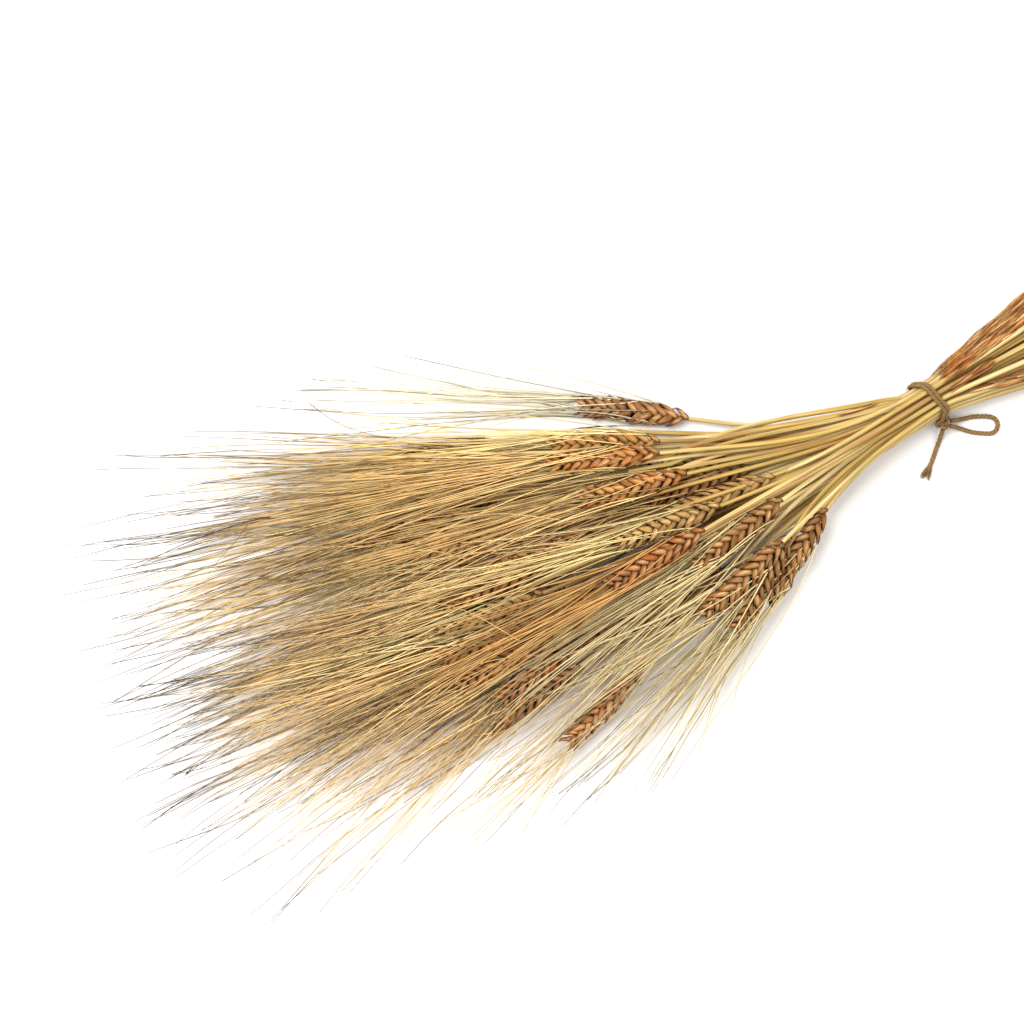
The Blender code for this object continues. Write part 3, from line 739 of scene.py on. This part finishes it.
husk = {
    "spikelets": 21,
    "first": 1.5,
    "last": 61.0,
    "round": np.radians([0, 38, 90, 142, 180, 232, 308]),  # corners of a scale's cross section
    "profile": ([0, 0.15, 0.38, 0.62, 0.84, 1], [0.5, 0.88, 1, 0.82, 0.38, 0.05]),
    "rings": 7,
    "bow": 0.5,
    "sizes": ([0, 0.1, 0.3, 0.7, 0.9, 1], [0.7, 0.9, 1, 0.98, 0.85, 0.7]),  # from the foot to the tip
    "open": {"nut": 1.1, "brown": 1.05},  # how far the spikelets stand out
    "jitter": (0.8, 0.55, 0.45),  # of a scale's tip
    "sway": (0.06, 0.5),  # of a whole spikelet, outwards as a share and along the ear
    # darker at the hidden base as painted shade, and at the tip
    "darkEnds": ([0, 0.3, 0.8, 1], [1.0, 0.08, 0.05, 0.7]),
    # painted highlight along the ridge, from the foot to the tip of a scale
    "highlightRidge": ([0, 0.3, 0.55, 0.9], [0, 0.5, 0.42, 0]),
    "varied": 0.17,  # how much darker or lighter a scale may be
}
# Scales of a spikelet, in millimetres from its seat: where each starts and ends along the ear, out to the
# side and up, its half width and half thickness, how far it faces up, and whether it carries an awn
scaleForms = np.array([
    (0.0, -0.6, 1.9, 9.4, 4.6, 2.9, 2.4, 1.4, 0.88, 0),
    (1.9, 0.9, 1.1, 12.0, 6.5, 1.9, 2.1, 1.5, 0.55, 1),
    (2.8, 1.6, 0.0, 12.8, 6.8, 0.0, 2.0, 1.45, 0.0, 1),
    (1.9, 0.9, -1.1, 12.0, 6.5, -1.9, 2.1, 1.5, -0.55, 1),
    (0.0, -0.6, -1.9, 9.4, 4.6, -2.9, 2.4, 1.4, -0.88, 0),
])


# Scales: P(t, a) = seat + t (tip - seat) + w(t) (wide cos a across + thick sin a facing), a plump boat
# whose inside is flatter than its outside. Its edge is dark, partly its own colour and partly painted shade;
# its underside and hidden base get painted shade and its ridge a painted highlight. Beside the surface it
# gives, for each scale with an awn, its tip, its side of the ear, its share of the ear and whether it faces
# up.
def huskSurface(line, foot, name):
    look = looks[name]
    count, each = husk["spikelets"], len(scaleForms)
    share = np.repeat(np.linspace(0, 1, count), each)
    seats = foot + husk["first"] + (husk["last"] - husk["first"]) * share
    hands = np.repeat(np.where(np.arange(count) % 2 == 0, 1.0, -1.0), each)
    forms = np.tile(scaleForms, (count, 1))
    jitter = rng.normal(0, 1, (len(forms), 6))
    sway = np.repeat(rng.normal(0, 1, (count, 2)), each, 0)
    size = np.interp(share, *husk["sizes"]) * (1 + 0.04 * jitter[:, 0])
    out = husk["open"].get(name, 1.0) * (1 + husk["sway"][0] * sway[:, 0])
    seat = np.stack([seats + forms[:, 0] * size, hands * forms[:, 1] * size, forms[:, 2] * size], 1)
    tip = np.stack([seats + forms[:, 3] * size, hands * forms[:, 4] * size * out, forms[:, 5] * size], 1)
    tip += jitter[:, 1:4] * husk["jitter"]
    tip[:, 0] += husk["sway"][1] * sway[:, 1]
    way = tip - seat
    length = np.linalg.norm(way, axis=1)
    way /= length[:, None]
    facing = np.stack([np.zeros(len(forms)), hands * np.sqrt(1 - forms[:, 8] ** 2), forms[:, 8]], 1)
    facing = squareTo(facing, way)
    across = np.cross(way, facing)
    t, a = np.linspace(0, 1, husk["rings"]), husk["round"]
    w = np.interp(t, *husk["profile"])
    lift = np.where(np.sin(a) > 0, np.sin(a), 0.5 * np.sin(a))
    wide, thick = forms[:, 6] * size, forms[:, 7] * size
    rise = (thick[:, None] * w)[:, :, None] * lift + (husk["bow"] * np.sin(np.pi * t))[:, None]
    local = (seat[:, None, None] + (length[:, None] * t)[:, :, None, None] * way[:, None, None]
             + (wide[:, None] * w)[:, :, None, None] * np.cos(a)[:, None] * across[:, None, None]
             + rise[..., None] * facing[:, None, None])
    points = line.at(local[..., 0], local[..., 1], local[..., 2])
    # Painted shade: darker on the underside, at the hidden base and at the edges; the edges and the tip are
    # partly the husk's own dark colour
    rim = np.where(np.sin(a) < -0.1, 0.9, np.abs(np.cos(a)) ** 4)
    rim = np.maximum(rim, np.interp(t, *husk["darkEnds"])[:, None])
    # Painted highlight along the scale's ridge that faces up, stronger or weaker at random
    ridgeHighlight = np.clip(np.sin(a), 0, 1) ** 6 * np.interp(t, *husk["highlightRidge"])[:, None]
    ridgeHighlight = ridgeHighlight * (0.6 + 0.4 * jitter[:, 5].clip(-1.5, 1.5))[:, None, None]
    tint = look[0] * (1 - rim)[..., None] + look[1] * rim[..., None]
    tint = tint * (1 - ridgeHighlight)[..., None] + huskHighlight * ridgeHighlight[..., None]
    tint = tint * (1 + husk["varied"] * jitter[:, 4].clip(-2, 2))[:, None, None, None]
    shape = (len(forms), len(t), len(a))
    grain = np.stack([np.broadcast_to(wide[:, None, None] * np.cos(a), shape), np.broadcast_to(lift, shape),
                      np.broadcast_to((length[:, None] * t)[:, :, None], shape)], -1)
    awned = forms[:, 9] > 0
    return (tubes(points, tint, grain, 1), tip[awned], hands[awned], share[awned],
            np.sign(forms[awned, 8]))


beard = {
    "rings": 13,
    "thick": 0.36,
    "fine": 0.15,  # radius at the tip
    "stations": (-71.0, -20.0, 10.0, 52.0, 158.0, 240.0),  # from the ear's tip
    "spread": (7.6, 8.4, 9.6, 13.5, 25.0, 40.0),  # half width at each
    "rise": (7.0, 6.6, 4.0, 2.0, 1.2, 1.0),  # half thickness at each
    "longest": 1.5,  # as a share of the beard, as the next three
    "shorter": 0.3,  # for the awns near the foot
    "varied": 0.88,
    "whiskers": (0.26, 0.32),  # share of the awns that are longer, and by how much
    "leave": 24.0,  # over this length it leaves its scale for its own place in the beard
    "wave": (1.3, 22.0, 18.0),  # how wide, how long, and how much longer it may be
    "curl": 13.0,
    "stray": 0.21,  # how far the wildest lean out, a millimetre along
    "sag": 0.6,  # share of the height lost at the far end
    "room": ((-522.0, -162.0), (200.0, 138.0)),  # lowest and highest x and y
    "wall": 60.0,  # the awns that would reach the room's end are cut back by up to this
    "darkTip": ((0.55, 0.3), (0.72, 0.25)),  # from where and over what share, of the awn and of the beard
    "darkAwns": (0.22, 0.42),  # how many are dark, and their share of the colour
    "tints": (0.74, 0.44),
}


# Share that goes from 0 to 1 over a stretch that begins at start
def ramp(value, start, stretch):
    return np.clip((value - start) / stretch, 0, 1)


# How long an awn may be in the room: to the nearest edge ahead of the line, less up to wall
def awnEnds(line, reach, cutBack):
    low, high = beard["room"]
    edges = np.where(line.ways[-1, :2] < 0, low, high)
    wall = line.stations[-1] + ((edges - line.places[-1, :2]) / line.ways[-1, :2]).min()
    return np.minimum(reach, wall - beard["wall"] * cutBack**2)


# Lines that would leave the room end before its edge, with as many points as before
def keepInside(centre):
    low, high = beard["room"]
    rings = centre.shape[1]
    inside = np.all((centre[..., :2] > low) & (centre[..., :2] < high), axis=2)
    last = np.where(inside.all(1), rings - 1, np.argmin(inside, axis=1) - 1).clip(1)
    place = np.arange(rings) * last[:, None] / (rings - 1)
    i, one = np.minimum(place.astype(int), rings - 2), np.arange(len(centre))[:, None]
    return centre[one, i] + (centre[one, i + 1] - centre[one, i]) * (place - i)[..., None]


# Awns: from its scale's tip each leans to its own place in the beard, side(s) = outer * half(s), with a
# slow wave, a curl that grows as t^2.5 and, for a few, a straight lean outwards
def awnSurface(line, foot, length, sparse, broad, roots, hands, share, above, look):
    kept = rng.random(len(roots)) >= sparse
    roots, hands, share, above = roots[kept], hands[kept], share[kept], above[kept]
    count = len(roots)
    tip = foot + packed["length"]
    t = np.linspace(0, 1, beard["rings"]) ** 1.15
    pick = rng.random((count, 12))
    long = beard["longest"] - beard["shorter"] * (1 - share)
    long = long - (beard["varied"] + sparse / 2) * pick[:, 0] ** 0.5
    long += np.where(pick[:, 10] < beard["whiskers"][0], beard["whiskers"][1], 0.0)
    ends = awnEnds(line, tip + length * long, pick[:, 11])
    s = roots[:, :1] + (ends - roots[:, 0])[:, None] * t
    half = np.interp(s - tip, beard["stations"], beard["spread"]) * broad
    rise = np.interp(s - tip, beard["stations"], beard["rise"])
    outer = hands * (1 - 0.75 * share) * (1.15 * pick[:, 1] - 0.15) + 0.4 * (2 * pick[:, 2] - 1)
    level = above * (0.7 + 0.35 * pick[:, 3]) + (above == 0) * (2 * pick[:, 3] - 1) * 0.6
    gone = s - roots[:, :1]
    blend = 1 - np.exp(-gone / beard["leave"])
    wide, period, longer = beard["wave"]
    wave = wide * np.sin(gone / (period + longer * pick[:, 4:5]) + 6.3 * pick[:, 5:6]) * blend * t
    curl = beard["curl"] * (2 * pick[:, 6:7] - 1) * t**2.5
    stray = beard["stray"] * (2 * pick[:, 9:10] - 1) ** 3 * gone * broad
    side = roots[:, 1:2] * (1 - blend) + outer[:, None] * half * blend + wave + curl + stray
    up = roots[:, 2:] * (1 - blend) + level[:, None] * rise * blend
    fade = np.clip(t * 1.6, 0, 1)[:, None]
    past = (s - tip) / length
    onAwn, onBeard = beard["darkTip"]
    dark = (ramp(t, *onAwn) * ramp(past, *onBeard))[..., None]
    tint = (look[2] * (1 - fade) + look[3] * fade) * (1 - dark) + awnTip * dark
    darkAwns, darkened = beard["darkAwns"]
    least, more = beard["tints"]
    tint = tint * np.where(pick[:, 8] < darkAwns, darkened, least + more * pick[:, 7])[:, None, None]
    r = beard["thick"] * (1 - t) ** 0.7 * (1 - beard["fine"]) + beard["fine"]
    centre = line.at(s, side, up)
    centre[..., 2] *= 1 - beard["sag"] * ramp(past, 0.5, 0.9)
    centre = keepInside(centre)
    for f in (0.0, 0.25, 0.5, 0.75):
        awnPlaces.append((centre[:, :-1] * (1 - f) + centre[:, 1:] * f).reshape(-1, 3))
    return bristles(centre, r, tint, 0.4, 2)


awnPlaces = []  # points on all awns, for what lies on them
draws = np.random.default_rng(packed["seed"]).random((len(ears), 8))
lanes, rows = {}, {}
for row in sorted({e[0] for e in ears}):
    rows[row] = sorted((i for i, e in enumerate(ears) if e[0] == row), key=lambda i: ears[i][2])
    for place, i in enumerate(rows[row]):
        lanes[i] = (place - (len(rows[row]) - 1) / 2) * packed["lane"]
order = sorted(range(len(ears)), key=lambda i: (ears[i][0], ears[i][1]))
stalkFinishes = [finishes[name] for name in ("straw", "husk", "awnBristle", "leafSheath")]
rustyStalks = (9, 10, 11, 14, 15, 16, 17, 22, 26)


# The stalks that lie at the near edge spread further and, but for the full ones, have lost more awns
nearEdge = {"from": 50, "over": 60, "broken": 0.62, "broader": 0.8, "full": ("nut",)}
earBend = 1.3


def growStalk(name, line, foot, length, look, broken, slot, replaces=(), sheathEnd=0.0):
    line.bend(foot, rng.uniform(-earBend, earBend))
    husks, *awnStarts = huskSurface(line, foot, look)
    edge = ramp(-line.places[-1][1], nearEdge["from"], nearEdge["over"])
    if look not in nearEdge["full"]:
        broken = max(broken, nearEdge["broken"] * edge)
    broad = 1 + nearEdge["broader"] * edge
    surfaces = [strawSurface(line, foot, rng.uniform(*straw["nodes"])), husks,
                awnSurface(line, foot, length, broken, broad, *awnStarts, looks[look])]
    if sheathEnd:
        surfaces.append(sheathSurface(line, sheathEnd))
    makePiece(name, surfaces, stalkFinishes, replaces)


# Plan of three places on an ear, which stand for it where ears are kept apart
def earPlaces(line, foot):
    return line.at(foot + np.array([8, 36, 64]))[:, :2]


# Two ears of which one crosses over the other: how much higher each lies, from where to where after its foot
crossing = {11: (9.0, -85.0, -40.0), 15: (-10.0, -20.0, 45.0)}
lines, lengths = {}, {}
for number, i in enumerate(order):
    node = f"wheat_stalk_{number + 1:02d}"
    moreTail, moreBeard = packed["longer"]
    cut = packed["tail"] + moreTail * (2 * draws[number, 0] - 1)
    lengths[i] = packed["beard"] * (1 + moreBeard * (2 * draws[number, 1] - 1))
    plan = planKnots(ears[i], lanes[i], cut, lengths[i])
    lines[i] = lineThrough(np.c_[plan, knotHeights(node, plan)])
    if i in crossing:
        change, start, end = crossing[i]
        lines[i].lift(change, lines[i].stations[3] + start, lines[i].stations[3] + end)
earSpots = [earPlaces(line, line.stations[3]) for line in lines.values()]

# More stalks under the top ones, each half way between two neighbours of a row, with its ear where it is
# furthest from all other ears
fill = {
    "rows": (1, 2, 3),
    "steps": np.arange(-56, 100, 8.0),  # places tried for its foot, from the mean foot of the two
    "nearest": 92.0,
    "furthest": 262.0,
    "looks": ("under", "red", "under", "tan"),
    "broken": 0.4,
}
fillers = []
pairs = [lineBetween(lines[a], lines[b]) for row in fill["rows"] for a, b in zip(rows[row], rows[row][1:])]
while pairs:
    best = (-1.0, None, None)
    for line in pairs:
        for foot in line.stations[3] + fill["steps"]:
            spots = earPlaces(line, foot)
            if fill["nearest"] < np.hypot(*line.at(foot)[:2]) < fill["furthest"]:
                clear = min(np.linalg.norm(spots[:, None] - other, axis=2).min() for other in earSpots)
                best = max(best, (clear, foot, line), key=lambda b: b[0])
    clear, foot, line = best
    pairs.remove(line)
    earSpots.append(earPlaces(line, foot))
    fillers.append((line, foot))


# Bare straws that thicken the sheaf, on both sides of the middle between two neighbours, and the straight
# ones along its upper edge. Their far ends lie under the ears.
bare = {
    "rows": (2, 3, 4),
    "shares": (0.27, 0.73),  # of the way between the two
    "sink": 3.2,
    "past": {2: 30.0, 3: 32.0, 4: 16.0},  # how far past the mean foot each row's go
    "edge": ((4, 0.5, 9.0), (4, 0.25, 6.0), (3, 0.3, 8.0), (3, 0.55, 12.0), (2, 0.3, 7.0),
             (4, 0.8, 10.0)),  # row, share and bow
}
bareLines = [(lineBetween(lines[a], lines[b], share, 0.0, bare["sink"]), row) for row in bare["rows"]
             for a, b in zip(rows[row], rows[row][1:]) for share in bare["shares"]]
bareLines += [(lineBetween(lines[rows[row][-2]], lines[rows[row][-1]], share, bow, bare["sink"]), row)
              for row, share, bow in bare["edge"]]
bareSurfaces = [strawSurface(line, line.stations[3] + bare["past"][row], rng.uniform(*straw["nodes"]))
                for line, row in bareLines]
makePiece("bareStraws", bareSurfaces, [finishes["straw"]])
print("bare straws laid:", len(bareLines))

straws = np.concatenate([line.at(np.arange(0, line.stations[3], 1.2))
                         for line in [*lines.values(), *(pair[0] for pair in bareLines + fillers)]])
for number, i in enumerate(order):
    sheathEnd = rng.uniform(*sheath["ends"]) if number % sheath["every"] == 0 else 0.0
    slot = "rusty_wheat" if number + 1 in rustyStalks else "golden_wheat"
    growStalk(f"stalk{number + 1:02d}", lines[i], lines[i].stations[3], lengths[i], *ears[i][4:],
              slot, (f"wheat_stalk_{number + 1:02d}",), sheathEnd)
for number, (line, foot) in enumerate(fillers):
    look = fill["looks"][number % len(fill["looks"])]
    slot = "rusty_wheat" if look == "red" else "golden_wheat"
    growStalk(f"underStalk{number + 1:02d}", line, foot, packed["beard"], look, fill["broken"], slot)
print("stalks grown:", len(order), "and", len(fillers), "under them")


# Torn leaf that lies over the straws in strips

leaf = {
    # Each patch: places in the picture of its two ends, half width at them and how many strips
    "patches": [((937, 380), (1064, 277), 4.4, 7.4, 230), ((968, 391), (1066, 366), 1.2, 3.2, 50),
                ((948, 392), (996, 360), 1.6, 2.8, 30), ((836, 417), (880, 403), 0.6, 1.2, 8)],
    "length": (12.0, 44.0),
    "halfWidth": (0.16, 0.8),
    "flat": 0.22,  # thickness as a share of the width
    "colours": (paint(222, 152, 86), paint(200, 128, 64), paint(230, 184, 120), paint(156, 98, 50)),
    "rings": 14,
}


# Top of what lies under each place of many paths: the highest z + sqrt(dome^2 - d^2) of the carrying points
# within reach, with d their distance in plan, then smoothed along the path
def restOn(carrying, paths, reach, gap, smooth=5, dome=None):
    shape = paths.shape[:2]
    flat = paths.reshape(-1, 2)
    above, below = carrying[:, :2] > flat.min(0) - reach, carrying[:, :2] < flat.max(0) + reach
    near = carrying[np.all(above & below, 1)]
    apart = (flat[:, None, 0] - near[:, 0]) ** 2 + (flat[:, None, 1] - near[:, 1]) ** 2
    rise = np.sqrt(np.maximum((dome or reach) ** 2 - apart, 0))
    heights = np.where(apart < reach**2, near[:, 2] + rise, 0.0)
    tops = heights.max(1, initial=0.0).reshape(shape) + gap
    wide = np.pad(tops, ((0, 0), (smooth // 2, smooth // 2)), mode="edge")
    windows = np.stack([wide[:, k:k + shape[1]] for k in range(smooth)])
    return 0.5 * windows.max(0) + 0.5 * windows.mean(0)


# Strips that run along a patch, each at a random place in its width, and lie on the straws
def leafStrips(patch):
    start, end, wideStart, wideEnd, count = patch
    start, end = spot(*start), spot(*end)
    run = np.linalg.norm(end - start)
    way = (end - start) / run
    pick = rng.random((count, 8))
    length = np.minimum(between(leaf["length"], pick[:, 0]), 0.9 * run)
    first = (run - length) * pick[:, 1]
    t = np.linspace(0, 1, leaf["rings"])
    s = first[:, None] + length[:, None] * t
    half = wideStart + (wideEnd - wideStart) * s / run
    side = half * (2 * pick[:, 2:3] - 1) + 0.5 * np.sin(s / 5 + 6.3 * pick[:, 3:4])
    plan = start + s[..., None] * way + side[..., None] * [-way[1], way[0]]
    z = restOn(straws, plan, straw["radius"] + 0.5, 0.1 + 0.5 * pick[:, 4:5])
    z = np.maximum(z, 0.75 * z.max(1, keepdims=True))  # a strip that juts out past the edge stays stiff
    wide = between(leaf["halfWidth"], pick[:, 5] ** 2)
    r = wide[:, None] * np.clip(1.25 * np.sin(np.pi * (0.06 + 0.88 * t)), 0, 1)
    colours = np.array(leaf["colours"])[(4 * pick[:, 6]).astype(int)]
    tint = colours[:, None] * (0.8 + 0.35 * np.sin(s / 4 + 6 * pick[:, 7:])[..., None])
    return bristles(np.concatenate([plan, z[..., None]], 2), r, tint, 0.6, 0, sides=4, flat=leaf["flat"])


makePiece("leafStrips", [leafStrips(patch) for patch in leaf["patches"]], [finishes["leafSheath"]])
print("leaf strips draped")


# Loose awns that lie on the beards: places in the picture, radius and colour
looseAwns = [
    ([(268, 517), (245, 521), (225, 528), (190, 540), (155, 556), (125, 573)], 0.5, paint(92, 58, 38)),
    ([(307, 402), (330, 420), (352, 430), (395, 440)], 0.3, paint(110, 92, 78)),
    ([(246, 524), (238, 540), (222, 552), (206, 574)], 0.25, paint(128, 96, 66)),
    ([(181, 776), (184, 772), (188, 769)], 0.55, paint(60, 44, 34)),
    ([(470, 560), (430, 548), (380, 556), (330, 572)], 0.3, paint(236, 208, 140)),
    ([(560, 520), (500, 512), (450, 520), (392, 538)], 0.3, paint(240, 214, 150)),
    ([(520, 640), (470, 610), (430, 600), (360, 604)], 0.3, paint(232, 200, 130)),
]


# Loose awn: a smooth line through its places, laid on the beards, thinner towards its end
def looseAwn(route, radius, colour):
    plan = resample(np.c_[[spot(*place) for place in route], np.zeros(len(route))], 2.0, 24.0)[None, :, :2]
    t = np.linspace(0, 1, plan.shape[1])
    z = restOn(np.concatenate(awnPlaces), plan, 4.0, radius, 15, dome=0.4)
    return bristles(np.concatenate([plan, z[..., None]], 2), radius * (1 - 0.7 * t), colour, 0.4, 0)


makePiece("looseAwns", [looseAwn(*awn) for awn in looseAwns], [finishes["awnBristle"]])
print("loose awns laid")


# Floor and light

paperFloor = {"half": 9000.0, "colour": (0.92, 0.9, 0.875, 1.0), "rough": 0.8}


def makeFloor():
    half = paperFloor["half"] * mm
    mesh = bpy.data.meshes.new("floor")
    mesh.from_pydata([(x * half, y * half, 0.0) for x, y in ((-1, -1), (1, -1), (1, 1), (-1, 1))],
                     [], [(0, 1, 2, 3)])
    floor = addObject("floor", mesh)
    paper = bpy.data.materials.new("palePaper")
    paper.use_nodes = True
    shader = paper.node_tree.nodes["Principled BSDF"]
    shader.inputs["Base Color"].default_value = paperFloor["colour"]
    shader.inputs["Roughness"].default_value = paperFloor["rough"]
    mesh.materials.append(paper)


# Each light: place, width and power. The white world gives the rest.
lights = {
    "softbox": ((-900.0, 1100.0, 2200.0), 1600.0, 70.0),
    "fill": ((900.0, -1100.0, 1900.0), 1600.0, 18.0),
}
worldLight = 0.68


def makeLights():
    for name, (place, size, power) in lights.items():
        lamp = bpy.data.lights.new(name, "AREA")
        lamp.energy, lamp.size = power, size * mm
        light = addObject(name, lamp)
        light.location = [v * mm for v in place]
        aim = np.array([shot["centre"][0], shot["centre"][1], 0.0]) - place
        light.rotation_euler = (np.arctan2(np.hypot(aim[0], aim[1]), -aim[2]), 0.0,
                                np.arctan2(aim[1], aim[0]) - np.pi / 2)
    world = bpy.data.worlds.new("studio")
    world.use_nodes = True
    world.node_tree.nodes["Background"].inputs["Color"].default_value = (1.0, 1.0, 1.0, 1.0)
    world.node_tree.nodes["Background"].inputs["Strength"].default_value = worldLight
    bpy.context.scene.world = world


makeFloor()
makeLights()
print("floor and lights set")
